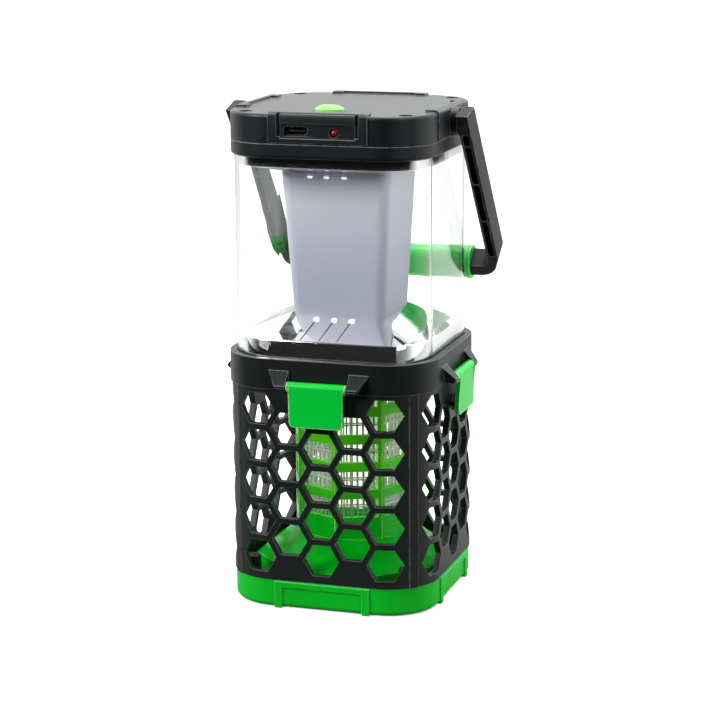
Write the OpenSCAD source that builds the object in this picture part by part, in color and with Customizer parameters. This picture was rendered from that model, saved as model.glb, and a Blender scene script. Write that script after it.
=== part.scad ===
// Camping lantern with an electric insect zapper below it.
// The lamp head stands on a collar; the collar is latched to a grille cage, and
// the cage is screwed to a tray that catches the insects. +Z is up, the charging
// socket faces -Y, and the origin is the middle of the tray's flat underside.

/* [Cage] */
// Width of the grille cage across opposite walls
cage_w = 83.6; // [69:0.1:101]
// Height of the grille cage
cage_h = 76.5; // [63:0.1:92]
// Radius of the cage's upright corners
corner_r = 20.5; // [17:0.1:24.6]
// Thickness of the cage wall
cage_wall = 2.6; // [2:0.1:3.2]
// Height from one hexagonal opening to the next one above it
hex_pitch = 14.8; // [12.3:0.1:17.8]
// Width of the strut between two openings
hex_strut = 2.4; // [2:0.1:3]

/* [Lantern] */
// Height of the clear window between collar and cap
window_h = 76.6; // [63:0.1:92]
// Thickness of the clear window
window_wall = 1.8; // [1.5:0.1:2.2]
// Height of the cap, from the window to its top plate
cap_h = 16.75; // [16:0.05:20.2]
// Half-width of the diffuser at its top
diffuser_top = 22.3; // [18.5:0.1:26.8]
// Half-width of the diffuser at its foot
diffuser_foot = 18.6; // [15.5:0.1:22.4]

/* [Base and collar] */
// Height of the tray's skirt
base_h = 11.2; // [9.3:0.1:13.5]
// Height of the collar
collar_h = 12; // [11.5:0.1:14.4]

/* [Zapper] */
// Radius to the corners of the octagonal grid frame
frame_r = 24.5; // [20.4:0.1:25.5]
// Diameter of the grid wires
grid_wire_d = 0.7; // [0.5:0.1:0.9]

/* [Latches] */
// Width of a latch's flap
latch_w = 21.6; // [18:0.1:25.9]
// Thickness of a latch's flap
latch_t = 2; // [1.7:0.1:2.4]
// Diameter of a latch's hinge pin
latch_pin_d = 1.8; // [1.5:0.1:2.2]

/* [Handle] */
// Distance from the handle's pivot to the outer face of its bar
handle_l = 82.3; // [78:0.1:98]
// Breadth of the handle's arms in the plane they swing in
arm_breadth = 9.9; // [8.3:0.1:11.9]
// Thickness of the handle's arms
arm_t = 4.75; // [4:0.05:5.7]
// Diameter of the grip
grip_d = 13.3; // [13:0.1:15.5]
// Diameter of the pivot pins
pivot_d = 4; // [3.4:0.1:4.8]

/* [Hidden] */
$fn = 64;

// Clearances
slip = 0.2;            // between fixed plastic parts that slide together
run = 0.05;            // radial clearance of a pin that turns
press = 0.02;          // radial interference of a pressed or threaded pin
eps = 0.01;            // overshoot of a cut past a face

// Every rounded square shares one corner centre, so the walls are concentric
half = cage_w / 2;
core = half - corner_r;
base_half = half - 0.4;
collar_half = half + 0.5;
cap_half = half - 1.2;
cap_lip = 1.1;
window_half = cap_half - cap_lip - slip;
window_in = window_half - window_wall;

// Levels
z_floor = 2;
z_base = base_h;
z_cage = z_base + cage_h;
z_collar = z_cage + collar_h;
z_cap = z_collar + window_h;
z_part = z_cap + 5.7;
z_plate = z_cap + cap_h;
z_deck = z_cage + 1.9;
deck_t = 2;
z_ledge = z_deck + deck_t + 1.4;
gasket_t = 1;
cap_floor_t = 1.9;
z_cap_floor = z_part - cap_floor_t;
plate_t = 2;
z_ceiling = z_plate - plate_t;

// Hexagonal openings: flats level, five columns on each wall
hex_flats = hex_pitch - hex_strut;
hex_r = hex_flats / sqrt(3);
hex_column = hex_pitch * sqrt(3) / 2;
hex_side_columns = floor((half - hex_r - 2) / hex_column);
hex_margin = 3.2;
hex_first = z_base + hex_margin + hex_flats / 2;
hex_rows = floor((cage_h - hex_margin - 1.2 + hex_strut) / hex_pitch);

// Screw bosses in the cage's corners and the cap's corners
boss_r = 3.3;
screw_r = 1.2;
screw_head_r = 2.4;
cage_boss = core + (corner_r - cage_wall - boss_r + 0.3) / sqrt(2);
boss_low = z_base - 5;
boss_high = z_base + 6.4;
cap_wall = 2;
cap_screw = core + (cap_half - core - 4.45) / sqrt(2);
cap_sink_r = 2.75;
cap_sink_z = z_part + 4.2;
cap_post_h = 2;
cap_boss_r = 4;

// Tray
skirt_wall = 2;
cup_a = half - 5.5;
cup_wall = 1.6;
z_cup = z_base + 2.1;
pad_half = 19.3;
pad_proud = 0.8;
pad_bar = 2.9;

// Grid frame: an octagon with a corner at the front
oct = cos(22.5);
frame_t = 1.6;
band_h = 3.9;
band_pitch_aim = 10.2;
z_frame = z_base + 12.8;
frame_foot_h = 9.2;
frame_head_h = 5;
frame_top = z_deck;
band_span = frame_top - frame_head_h - z_frame - frame_foot_h;
band_gaps = round((band_span + band_h) / band_pitch_aim);
band_pitch = (band_span + band_h) / band_gaps;
post_w = 3.4;
frame_side = 2 * frame_r * sin(22.5);
ring_plate_t = 2.5;
wire_r = grid_wire_d / 2;
outer_wire_a = frame_r * oct - frame_t - 0.6 - wire_r;
inner_wire_a = outer_wire_a - 3;
outer_wires = 7;
inner_wires = 5;
inner_pitch = 2 * inner_wire_a * tan(22.5) / (inner_wires + 0.44);
ring_bore = inner_wire_a - wire_r - 1.2;
wire_seat = 1.2;
tie_t = 0.5;
weld = 0.15;

// Funnel between the cup and the grid frame
funnel_top_a = frame_r * oct + 0.4;
funnel_wall = 1.4;

// Lamps and boards
lamp_post_w = 11;
lamp_post_low = z_frame + 8;
board_t = 1.6;
hv_board_z = z_deck + deck_t + 2;
conduit_r = 1.8;

// Reflectors and diffuser
reflector_t = 1.2;
reflector_half = window_in - slip;
reflector_rise = 6.7;
z_rim = z_collar + 6.6;
z_foot = z_rim + reflector_rise;
rim_low = z_ledge;
z_top_rim = z_cap - 3.7;
z_top_seat = z_top_rim - 3.1;
seat_gap = 0.9;
diffuser_t = 1.5;
diffuser_corner = 5;
diffuser_engage = 2;

// Front panel on the cap and what shows through it
panel_half = 19.5;
panel_proud = 0.6;
panel_rise = 0.85;
panel_deep = 5.6;
ridge_half = 15.2;
ridge_t = 3.2;
panel_low = z_part + 0.5;
usb_x = -8.6;
usb_z = z_part + 4.9;
usb_w = 8.94;
usb_h = 3.16;
usb_l = 7.3;
usb_cut_w = 9.3;
usb_cut_h = 3.5;
led_x = 6.3;
led_r = 1.3;
led_z = usb_z - 0.25;
led_ring_r = 1.8;
main_board_z = usb_z - usb_h / 2 - board_t;
main_board_top = main_board_z + board_t;
main_board_half = 17;
main_board_l = 22;
board_front = -(cap_half - cap_wall - 1);

// Button
button_y = -(cap_half - 14.6);
button_r = 3.9;
button_stretch = 1.6;
button_gap = 0.25;
button_rise = 1.1;
button_dome = 1.4;
button_travel = 0.8;
button_flange = 1;
plunger_r = 1.7;
plunger_l = 2.4;
switch_half = 3;
switch_h = 3.4;
plunger_top = main_board_top + switch_h + 1;

// Latches: hinge axis, and the catch on the cage
latch_gap = 0.3;
barrel_r = 2;
latch_pin_r = latch_pin_d / 2;
hinge_out = half + 3.1;
hinge_z = z_cage + 2.2;
barrel_half = latch_w / 2 + 1.1;
flap_low = hinge_z - 15.5;
flap_corner = 2.2;
hook_t = 1.6;
hook_low = flap_low + 1;
hook_half = 7;
catch_gap = 0.15;
catch_low = hook_low + hook_t + catch_gap;
catch_h = 2;
catch_out = 2;
lug_in = barrel_half + latch_gap;
lug_tip = 3.1;
lug_root = 7.8;
lug_rise = 5.5;
lug_drop = 1.7;
lug_nose = 0.5;
latch_pin_l = 2 * (lug_in + lug_tip - 0.6);

// Handle
pivot_z = z_part + 5.5;
pivot_r = pivot_d / 2;
arm_in = cap_half + 3.6;
arm_out = arm_in + arm_t;
boss_disc_r = 5.5;
bar_t = 5.65;
bar_in = handle_l - bar_t;
corner_start = handle_l - 10;
head_low = 3.4;
head_high = 7.4;
channel_wall_in = 0.9;
channel_wall_out = 1.35;
channel_back = 1.5;
rib_t = 1.1;
rib_first = 8.9;
rib_pitch = 20.7;
grip_half = arm_in - 8;
flange_r = grip_d / 2 + 0.25;
flange_t = 1.8;
rest_gap = 2.29;
rest_angle = asin((window_half + flange_r + rest_gap) / (handle_l - bar_t / 2));

// ---------------------------------------------------------------- shared shapes

// Filled rounded square of half-width h, concentric with the cage's corners
module plan(h) {
    square([2 * h, 2 * core], center = true);
    square([2 * core, 2 * h], center = true);
    for (x = [-core, core], y = [-core, core])
        translate([x, y]) circle(r = h - core);
}

// Rounded-square block between two levels
module slab(h, low, high) {
    translate([0, 0, low]) linear_extrude(high - low) plan(h);
}

// Rounded-square tube between two levels
module tube(out, in, low, high) {
    translate([0, 0, low]) linear_extrude(high - low) difference() {
        plan(out);
        plan(in);
    }
}

// Carries a profile, drawn as distance from the axis against height, round the plan
module sweep() {
    for (q = [0:3]) rotate(90 * q) {
        rotate([90, 0, 0]) linear_extrude(2 * core, center = true) children();
        translate([core, core, 0]) rotate_extrude(angle = 90) translate([-core, 0]) children();
    }
}

// Block whose upper (up = 1) or lower (up = -1) outer edge is a quarter round
module soft_slab(h, low, high, f, up) {
    edge = up > 0 ? high - f : low + f;
    slab(h, up > 0 ? low : edge, up > 0 ? edge : high);
    slab(h - f, low, high);
    sweep() intersection() {
        translate([h - f, edge]) circle(r = f);
        translate([h - f - eps, up > 0 ? edge - eps : low]) square([f + 1, f + eps]);
    }
}

// Rounded square of free size, as used by the diffuser
module free_plan(h, r) {
    square([2 * h, 2 * (h - r)], center = true);
    square([2 * (h - r), 2 * h], center = true);
    for (x = [-1, 1], y = [-1, 1])
        translate([x * (h - r), y * (h - r)]) circle(r = r, $fn = 32);
}

// Tapering block between two rounded squares
module taper(h1, r1, z1, h2, r2, z2) {
    skin = 0.02;
    hull() {
        translate([0, 0, z1]) linear_extrude(skin) free_plan(h1, r1);
        translate([0, 0, z2 - skin]) linear_extrude(skin) free_plan(h2, r2);
    }
}

// The four corners of a square of half-width d
module at_corners(d) {
    for (x = [-d, d], y = [-d, d]) translate([x, y, 0]) children();
}

// Octagonal prism with the given distance from centre to flats
module octagon(a, low, high, turn) {
    translate([0, 0, low]) rotate(turn) cylinder(r = a / oct, h = high - low, $fn = 8);
}

// Eight-sided cone between two levels, with flats on the axes
module octagon_cone(a1, low, a2, high) {
    intersection_for (q = [0:3]) rotate(45 * q) rotate([90, 0, 0])
        linear_extrude(4 * a1, center = true)
            polygon([[-a1, low], [a1, low], [a2, high], [-a2, high]]);
}

// Pan-head screw, pointing up from z = 0
module screw(l, head_h) {
    cylinder(r = screw_head_r, h = head_h);
    cylinder(r = screw_r, h = l);
}

// ---------------------------------------------------------------- base

// Raised border on one side of the skirt: two bars and a top rail
module tray_pad() {
    face = base_half + pad_proud;
    deep = 2;
    for (s = [-1, 1])
        translate([s * (pad_half - pad_bar / 2) - pad_bar / 2, -face, 0]) cube([pad_bar, deep, z_base - 0.5]);
    translate([-pad_half, -face, z_base - 0.5 - pad_bar + 0.7]) cube([2 * pad_half, deep, pad_bar - 0.7]);
}

// Tray that closes the bottom; an eight-sided cup stands in it
module base_tray() {
    color([0.02, 0.66, 0.16]) {
        difference() {
            union() {
                difference() {
                    soft_slab(base_half, 0, z_base, 2.2, -1);
                    slab(base_half - skirt_wall, z_floor, z_base + eps);
                }
                difference() {
                    octagon(cup_a, z_floor - 0.5, z_cup, 22.5);
                    octagon(cup_a - cup_wall, z_floor - 1, z_cup + eps, 22.5);
                }
                at_corners(cage_boss) cylinder(r = boss_r, h = boss_low);
                for (q = [0:3]) rotate(90 * q) tray_pad();
            }
            at_corners(cage_boss) {
                translate([0, 0, -eps]) cylinder(r = screw_head_r + 0.3, h = 2.5 + eps);
                cylinder(r = screw_r + 0.25, h = boss_low + 1);
            }
        }
    }
}

// Sloping eight-sided shoulder; insects fall through it into the cup
module bug_funnel() {
    color([0.03, 0.7, 0.18]) difference() {
        union() {
            octagon_cone(cup_a, z_cup, funnel_top_a, z_frame);
            octagon(cup_a - cup_wall - slip, z_cup - 2, z_cup + 0.5, 22.5);
        }
        octagon(cup_a - cup_wall - slip - funnel_wall, z_cup - 3, z_cup + eps, 22.5);
        octagon_cone(cup_a - cup_wall - slip - funnel_wall, z_cup,
                     funnel_top_a - funnel_wall, z_frame - 1.5);
        translate([0, 0, z_cup]) cylinder(r = ring_bore, h = z_frame);
    }
}

// Screws that hold the tray to the cage
module base_screws() {
    color([0.7, 0.7, 0.72]) at_corners(cage_boss) translate([0, 0, 0.7]) screw(13, 1.8);
}

// ---------------------------------------------------------------- cage

// Hexagonal prisms through one pair of opposite walls
module hex_columns() {
    for (k = [-hex_side_columns:hex_side_columns]) {
        odd = abs(k) % 2;
        for (i = [0:hex_rows - 1 - odd]) {
            z = hex_first + (i + odd / 2) * hex_pitch;
            if (k != 0 || z + hex_flats / 2 < flap_low)
                translate([k * hex_column, 0, z]) rotate([90, 0, 0])
                    cylinder(r = hex_r, h = 2 * cage_w, center = true, $fn = 6);
        }
    }
}

module grille_cage() {
    strip_w = 3.9;
    strip_out = core * sqrt(2) + corner_r + 0.35;
    color([0.09, 0.095, 0.1]) difference() {
        union() {
            difference() {
                union() {
                    tube(half, half - cage_wall, z_base, z_cage);
                    for (q = [0:3]) rotate(45 + 90 * q)
                        translate([strip_out - 1.8, -strip_w / 2, z_base]) cube([1.8, strip_w, cage_h]);
                }
                hex_columns();
                rotate(90) hex_columns();
            }
            tube(half - cage_wall / 2, half - cage_wall, z_cage - 1, z_deck - slip);
            at_corners(cage_boss) {
                translate([0, 0, z_base]) cylinder(r = boss_r, h = boss_high - z_base);
                translate([0, 0, boss_low]) cylinder(r = boss_r - 0.5, h = boss_high - boss_low);
            }
            for (q = [0:3]) rotate(90 * q)
                translate([-hook_half, -half - catch_out, catch_low]) cube([2 * hook_half, catch_out + 1, catch_h]);
        }
        at_corners(cage_boss) translate([0, 0, boss_low - eps])
            cylinder(r = screw_r - press, h = boss_high - boss_low - 1.5);
    }
}

// ---------------------------------------------------------------- collar and latches

// One hinge lug, right of the latch: a wedge whose top slopes down to the knuckle
// and whose far side narrows downwards
module lug() {
    root = collar_half - 1.2;
    tip = hinge_out + barrel_r + 0.1;
    high = hinge_z + lug_rise;
    low = hinge_z - lug_drop;
    intersection() {
        translate([lug_in, 0, 0]) rotate([90, 0, 90]) linear_extrude(lug_root) polygon([
            [-root, high], [-collar_half, high], [-tip, hinge_z + lug_nose],
            [-tip, hinge_z - lug_nose], [-tip + 1, low], [-root, low]]);
        rotate([90, 0, 0]) linear_extrude(tip + 1) polygon([
            [lug_in, low], [lug_in + lug_tip, low], [lug_in + lug_root, high], [lug_in, high]]);
    }
}

// Ring that carries the window, the latches and the zapper
module collar() {
    color([0.08, 0.085, 0.09]) difference() {
        union() {
            tube(collar_half, half - cage_wall / 2 + slip, z_cage, z_deck);
            slab(collar_half, z_deck, z_deck + deck_t);
            tube(collar_half, window_half + slip, z_deck + deck_t, z_collar);
            tube(window_half + slip + 0.2, reflector_half - reflector_t - 1.5, z_deck + deck_t, z_ledge);
            for (q = [0:3], m = [0, 1]) rotate(90 * q) mirror([m, 0, 0]) lug();
        }
        for (q = [0:3]) rotate(90 * q) translate([0, -hinge_out, hinge_z]) rotate([0, 90, 0])
            cylinder(r = latch_pin_r - press, h = latch_pin_l, center = true);
        translate([0, 0, z_deck - eps]) cylinder(r = conduit_r - 0.6, h = deck_t + 2 * eps);
    }
}

// The four hinge pins of the latches
module latch_pins() {
    color([0.72, 0.72, 0.74]) for (q = [0:3]) rotate(90 * q)
        translate([0, -hinge_out, hinge_z]) rotate([0, 90, 0])
            cylinder(r = latch_pin_r, h = latch_pin_l, center = true);
}

// Flap that hangs from its barrel and hooks under the catch on the cage
module latch() {
    w = latch_w / 2;
    color([0.02, 0.78, 0.25]) difference() {
        union() {
            translate([0, -hinge_out, hinge_z]) rotate([0, 90, 0])
                cylinder(r = barrel_r, h = 2 * barrel_half, center = true);
            translate([0, -hinge_out - barrel_r + latch_t, 0]) rotate([90, 0, 0]) linear_extrude(latch_t) {
                translate([-w, flap_low + flap_corner]) square([2 * w, hinge_z - flap_low - flap_corner]);
                translate([-w + flap_corner, flap_low]) square([2 * (w - flap_corner), flap_corner + 1]);
                for (s = [-1, 1])
                    translate([s * (w - flap_corner), flap_low + flap_corner]) circle(r = flap_corner);
            }
            translate([-hook_half, -hinge_out - barrel_r + latch_t - 0.5, hook_low])
                cube([2 * hook_half, hinge_out + barrel_r - latch_t + 0.5 - half - 0.6, hook_t]);
        }
        translate([0, -hinge_out, hinge_z]) rotate([0, 90, 0])
            cylinder(r = latch_pin_r + run, h = 2 * barrel_half + 2, center = true);
    }
}

module latch_front() { latch(); }
module latch_right() { rotate(90) latch(); }
module latch_back() { rotate(180) latch(); }
module latch_left() { rotate(270) latch(); }

// ---------------------------------------------------------------- zapper

// Groove in an end plate that a row of wires stands in
module wire_groove(a, z) {
    difference() {
        octagon(a + wire_r, z - wire_seat, z + wire_seat, 0);
        octagon(a - wire_r, z - 2 * wire_seat, z + 2 * wire_seat, 0);
    }
}

// Insulating cage: posts, level bands, and a pierced plate at each end
module zapper_frame() {
    a = frame_r * oct;
    color([0.2, 0.74, 0.1]) {
        difference() {
            octagon(a, z_frame, frame_top, 0);
            octagon(a - frame_t, z_frame - 1, frame_top + 1, 0);
            for (q = [0:7], i = [0:band_gaps - 1])
                rotate(22.5 + 45 * q)
                    translate([a - 3, -(frame_side - post_w) / 2, z_frame + frame_foot_h + i * band_pitch])
                        cube([6, frame_side - post_w, band_pitch - band_h]);
        }
        for (up = [0, 1]) difference() {
            z = up ? frame_top - ring_plate_t : z_frame;
            octagon(a - frame_t / 2, z, z + ring_plate_t, 0);
            translate([0, 0, z - 1]) cylinder(r = ring_bore, h = ring_plate_t + 2);
            wire_groove(outer_wire_a, up ? z : z + ring_plate_t);
            wire_groove(inner_wire_a, up ? z : z + ring_plate_t);
        }
    }
}

// Upright wires spaced along each side of an octagon, welded to a tie ring
// in the middle of each window of the frame
module grid(a, count, pitch, ring_out) {
    for (q = [0:7], i = [0:count - 1])
        rotate(22.5 + 45 * q)
            translate([a, (i - (count - 1) / 2) * pitch, z_frame + ring_plate_t - wire_seat])
                cylinder(r = wire_r, h = frame_top - z_frame - 2 * (ring_plate_t - wire_seat), $fn = 16);
    for (i = [0:band_gaps - 1]) {
        z = z_frame + frame_foot_h + i * band_pitch + (band_pitch - band_h) / 2;
        difference() {
            octagon(ring_out, z - tie_t / 2, z + tie_t / 2, 0);
            octagon(a + wire_r - weld, z - 1, z + 1, 0);
        }
    }
}

// Outer electrode; its tie rings bear on the frame's bands
module outer_grid() {
    color([0.75, 0.76, 0.78])
        grid(outer_wire_a, outer_wires, (frame_side - post_w) / (outer_wires + 0.2), frame_r * oct - frame_t);
}

module inner_grid() {
    color([0.72, 0.73, 0.75]) grid(inner_wire_a, inner_wires, inner_pitch, inner_wire_a + wire_r + 0.4);
}

// Square post that holds the ultraviolet lamps in the middle of the grid
module uv_lamp_post() {
    color([0.92, 0.92, 0.9]) difference() {
        translate([-lamp_post_w / 2, -lamp_post_w / 2, lamp_post_low])
            cube([lamp_post_w, lamp_post_w, z_deck - lamp_post_low]);
        translate([-lamp_post_w / 2 + 1.5, -lamp_post_w / 2 + 1.5, lamp_post_low + 1.5])
            cube([lamp_post_w - 3, lamp_post_w - 3, z_deck - lamp_post_low]);
    }
}

module uv_leds() {
    count = floor((z_deck - lamp_post_low) / 11);
    color([0.55, 0.35, 0.95]) for (q = [0:3], i = [0:count - 1]) rotate(90 * q)
        translate([-1.75, -lamp_post_w / 2 - 1.4, lamp_post_low + 4 + i * 11]) cube([3.5, 1.4, 2.8]);
}

// ---------------------------------------------------------------- high voltage, above the deck

module high_voltage_board() {
    board_l = 46;
    board_w = 38;
    color([0.05, 0.32, 0.14]) difference() {
        union() {
            translate([-board_l / 2, -board_w / 2, hv_board_z]) cube([board_l, board_w, board_t]);
            for (x = [-18, 18]) translate([x, 0, z_deck + deck_t])
                cylinder(r = 2.5, h = hv_board_z - z_deck - deck_t);
        }
        translate([0, 0, hv_board_z - 1]) cylinder(r = conduit_r + 1, h = 4);
    }
}

module step_up_transformer() {
    bobbin = [13, 12, 3];
    winding = [10, 9, 3.4];
    color([0.85, 0.7, 0.2]) translate([-12.5, -8, hv_board_z + board_t]) {
        translate([-bobbin.x / 2, -bobbin.y / 2, 0]) cube(bobbin);
        translate([-winding.x / 2, -winding.y / 2, bobbin.z]) cube(winding);
    }
}

module storage_capacitors() {
    can_r = 3;
    can_h = 6.5;
    color([0.2, 0.25, 0.55]) for (x = [8, 16])
        translate([x, 2 * can_r, hv_board_z + board_t]) cylinder(r = can_r, h = can_h);
}

// ---------------------------------------------------------------- lantern

module window_gasket() {
    color([0.2, 0.2, 0.21]) tube(window_half, reflector_half + slip, z_ledge, z_ledge + gasket_t);
}

// Mirror dish: an upright rim, then four slopes that rise to the diffuser's seat
module lower_reflector() {
    inner = reflector_half - reflector_t;
    seat = diffuser_foot + seat_gap;
    r = reflector_half - core;
    lip_in = diffuser_foot - diffuser_t - slip;
    color([0.86, 0.87, 0.88]) difference() {
        union() {
            tube(reflector_half, inner, rim_low, z_rim);
            taper(reflector_half, r, z_rim, seat, diffuser_corner, z_foot);
            translate([0, 0, z_foot - 1]) linear_extrude(2.5) free_plan(lip_in, diffuser_corner - diffuser_t);
        }
        taper(inner, r - reflector_t, z_rim - reflector_t, seat - 1, diffuser_corner - 1, z_foot - reflector_t);
        translate([0, 0, z_foot]) linear_extrude(3) free_plan(lip_in - 1.5, diffuser_corner - diffuser_t - 1.2);
        translate([0, 0, z_rim]) cylinder(r = conduit_r + 0.5, h = 20);
    }
}

// Clear square tube with round corners
module clear_window() {
    color([0.93, 0.96, 0.98, 0.25]) tube(window_half, window_in, z_ledge + gasket_t, z_cap_floor);
}

// Frosted shade that narrows downwards
module diffuser() {
    top = z_top_seat + diffuser_engage;
    color([0.74, 0.75, 0.83]) difference() {
        taper(diffuser_foot, diffuser_corner - 1, z_foot, diffuser_top, diffuser_corner, top);
        taper(diffuser_foot - diffuser_t, diffuser_corner - 1 - diffuser_t, z_foot - 0.2,
              diffuser_top - diffuser_t, diffuser_corner - diffuser_t, top + 0.2);
    }
}

// Mirror dish under the cap, with its slopes falling to the top of the diffuser
module upper_reflector() {
    inner = reflector_half - reflector_t;
    seat = diffuser_top + seat_gap;
    r = reflector_half - core;
    color([0.84, 0.85, 0.87]) difference() {
        union() {
            tube(reflector_half, inner, z_top_rim, z_cap_floor);
            taper(seat, diffuser_corner, z_top_seat, reflector_half, r, z_top_rim);
        }
        taper(seat - 0.4, diffuser_corner - 0.4, z_top_seat + reflector_t,
              inner, r - reflector_t, z_top_rim + reflector_t);
        translate([0, 0, z_top_seat - 1]) linear_extrude(4) free_plan(diffuser_top + 0.3, diffuser_corner + 0.3);
    }
}

// Round board under the cap that carries the white lamps
module lamp_board() {
    color([0.94, 0.94, 0.92]) difference() {
        translate([0, 0, z_cap_floor - board_t]) cylinder(r = diffuser_foot - 1, h = board_t);
        translate([0, 0, z_cap_floor - board_t - 1]) cylinder(r = conduit_r + 0.3, h = board_t + 2);
    }
}

module lamp_leds() {
    count = 12;
    color([0.98, 0.9, 0.45]) for (i = [0:count - 1]) rotate(i * 360 / count)
        translate([diffuser_foot - 5.6, -1.4, z_cap_floor - board_t - 0.8]) cube([3.5, 2.8, 0.8]);
}

// Tube that takes the leads from the cap down to the zapper
module wire_conduit() {
    color([0.88, 0.88, 0.86]) difference() {
        translate([0, 0, z_deck + deck_t]) cylinder(r = conduit_r, h = z_part + 0.6 - z_deck - deck_t);
        translate([0, 0, z_deck]) cylinder(r = conduit_r - 0.6, h = z_part + 3 - z_deck);
    }
}

// ---------------------------------------------------------------- cap

// Lower ring of the cap, with the floor that carries the battery and the board
module cap_base() {
    color([0.08, 0.085, 0.09]) difference() {
        union() {
            difference() {
                soft_slab(cap_half, z_cap, z_part, 1.3, -1);
                slab(window_half + slip, z_cap - 1, z_cap_floor);
            }
            intersection() {
                at_corners(cap_screw) translate([0, 0, z_part - 0.5]) cylinder(r = boss_r, h = cap_post_h + 0.5);
                slab(cap_half - cap_wall - slip, z_part - 1, z_plate);
            }
            for (x = [-11, 11]) translate([x, board_front + 10, z_part - 0.5])
                cylinder(r = 2, h = main_board_z - z_part + 0.5);
        }
        at_corners(cap_screw) translate([0, 0, z_cap_floor + 0.4])
            cylinder(r = screw_r - press, h = cap_post_h + 4);
        translate([0, 0, z_cap_floor - 1]) cylinder(r = conduit_r + 0.3, h = cap_floor_t + 2);
    }
}

// Flat rechargeable cell
module battery_pack() {
    l = 38;
    w = 26;
    h = 7.6;
    color([0.55, 0.57, 0.6]) translate([-l / 2, conduit_r + 1, z_part]) cube([l, w, h]);
}

module main_board() {
    color([0.05, 0.3, 0.14])
        translate([-main_board_half, board_front, main_board_z])
            cube([2 * main_board_half, main_board_l, board_t]);
}

// Stadium of width w and height h
module stadium(w, h) {
    square([w - h, h], center = true);
    for (s = [-1, 1]) translate([s * (w - h) / 2, 0]) circle(r = h / 2);
}

// Charging socket: a rolled shell with a tongue in it
module usb_c_socket() {
    front = -(cap_half + panel_proud - 1.4);
    color([0.6, 0.6, 0.62]) {
        translate([usb_x, front + usb_l, usb_z]) rotate([90, 0, 0]) difference() {
            linear_extrude(usb_l) stadium(usb_w, usb_h);
            translate([0, 0, 1]) linear_extrude(usb_l) stadium(usb_w - 0.6, usb_h - 0.6);
        }
        translate([usb_x - 3.35, front + 0.9, usb_z - 0.35]) cube([6.7, usb_l - 1.4, 0.7]);
    }
}

// Round charge lamp with a domed end
module status_led() {
    tip = -(cap_half + panel_proud - 0.9);
    color([0.85, 0.05, 0.06]) {
        translate([led_x, tip + 4, led_z]) rotate([90, 0, 0]) cylinder(r = led_r, h = 3);
        translate([led_x, tip + 1, led_z]) intersection() {
            sphere(r = led_r);
            rotate([90, 0, 0]) cylinder(r = led_r + 1, h = 3);
        }
    }
}

// Push switch, with a well for its plunger
module tact_switch() {
    color([0.15, 0.15, 0.16]) difference() {
        translate([-switch_half, button_y - switch_half, main_board_top])
            cube([2 * switch_half, 2 * switch_half, switch_h]);
        translate([0, button_y, plunger_top - plunger_l - button_travel - slip])
            cylinder(r = plunger_r + slip, h = switch_h);
    }
}

module switch_plunger() {
    color([0.8, 0.8, 0.78])
        translate([0, button_y, plunger_top - plunger_l]) cylinder(r = plunger_r, h = plunger_l);
}

// Raised panel on one side of the cap; it stands above the top plate as a ridge
module cap_panel() {
    face = cap_half + panel_proud;
    back = face - panel_deep;
    top = z_plate + panel_rise;
    translate([-panel_half, 0, 0]) rotate([90, 0, 90]) linear_extrude(2 * panel_half) polygon([
        [-back, z_ceiling + 0.5], [-back, top], [-face + 1.3, top], [-face + 0.4, top - 0.5], [-face, top - 1.5],
        [-face, panel_low], [-face + 1.5, panel_low], [-face + 1.5, z_ceiling + 0.5]]);
}

// Cuts in the front panel: grooves with a slit at the foot, a sunk field, socket and lamp
module front_cuts() {
    face = cap_half + panel_proud;
    groove_x = 15.4;
    groove_w = 1.4;
    field_low = panel_low + 1.7;
    for (s = [-1, 1]) {
        translate([s * groove_x - groove_w / 2, -face - 1, field_low + 0.8]) cube([groove_w, 2.2, cap_h]);
        translate([s * groove_x - groove_w / 2, -face - 1, field_low + 0.8]) cube([groove_w, 6, 0.7]);
    }
    translate([-groove_x + groove_w / 2, -face - 1, field_low]) cube([2 * groove_x - groove_w, 1.5, 5.7]);
    translate([usb_x, 0, usb_z]) rotate([90, 0, 0]) linear_extrude(face + 1) {
        square([usb_cut_w, usb_cut_h - 1.6], center = true);
        square([usb_cut_w - 1.6, usb_cut_h], center = true);
        for (x = [-1, 1], y = [-1, 1])
            translate([x * (usb_cut_w / 2 - 0.8), y * (usb_cut_h / 2 - 0.8)]) circle(r = 0.8);
    }
    translate([led_x, 0, led_z]) rotate([90, 0, 0]) cylinder(r = led_ring_r, h = face + 1);
}

// Upper shell of the cap
module cap_cover() {
    face = cap_half + panel_proud;
    color([0.085, 0.09, 0.095]) difference() {
        union() {
            difference() {
                soft_slab(cap_half, z_part, z_plate, 1.2, 1);
                slab(cap_half - cap_wall, z_part - 1, z_ceiling);
            }
            for (q = [0:3]) rotate(90 * q) cap_panel();
            at_corners(cap_screw) translate([0, 0, z_part + cap_post_h])
                cylinder(r = cap_boss_r, h = z_plate - 1 - z_part - cap_post_h);
            for (s = [-1, 1]) translate([s * (cap_half - cap_wall - 1.5), 0, pivot_z]) rotate([0, 90 * s, 0])
                cylinder(r = boss_disc_r, h = arm_in - 0.3 - (cap_half - cap_wall - 1.5));
        }
        front_cuts();
        for (q = [1:3]) rotate(90 * q)
            translate([-ridge_half, -face + ridge_t, z_plate]) cube([2 * ridge_half, panel_deep, panel_rise + 1]);
        at_corners(cap_screw) {
            translate([0, 0, cap_sink_z]) cylinder(r = cap_sink_r, h = cap_h);
            translate([0, 0, z_part]) cylinder(r = screw_r + 0.25, h = cap_h);
        }
        for (s = [-1, 1]) translate([s * (cap_half - 6), 0, pivot_z]) rotate([0, 90 * s, 0])
            cylinder(r = pivot_r - press, h = 12);
        translate([0, button_y, z_ceiling - 1]) linear_extrude(plate_t + 3)
            stadium(2 * (button_r + button_stretch + button_gap), 2 * (button_r + button_gap));
    }
}

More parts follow.
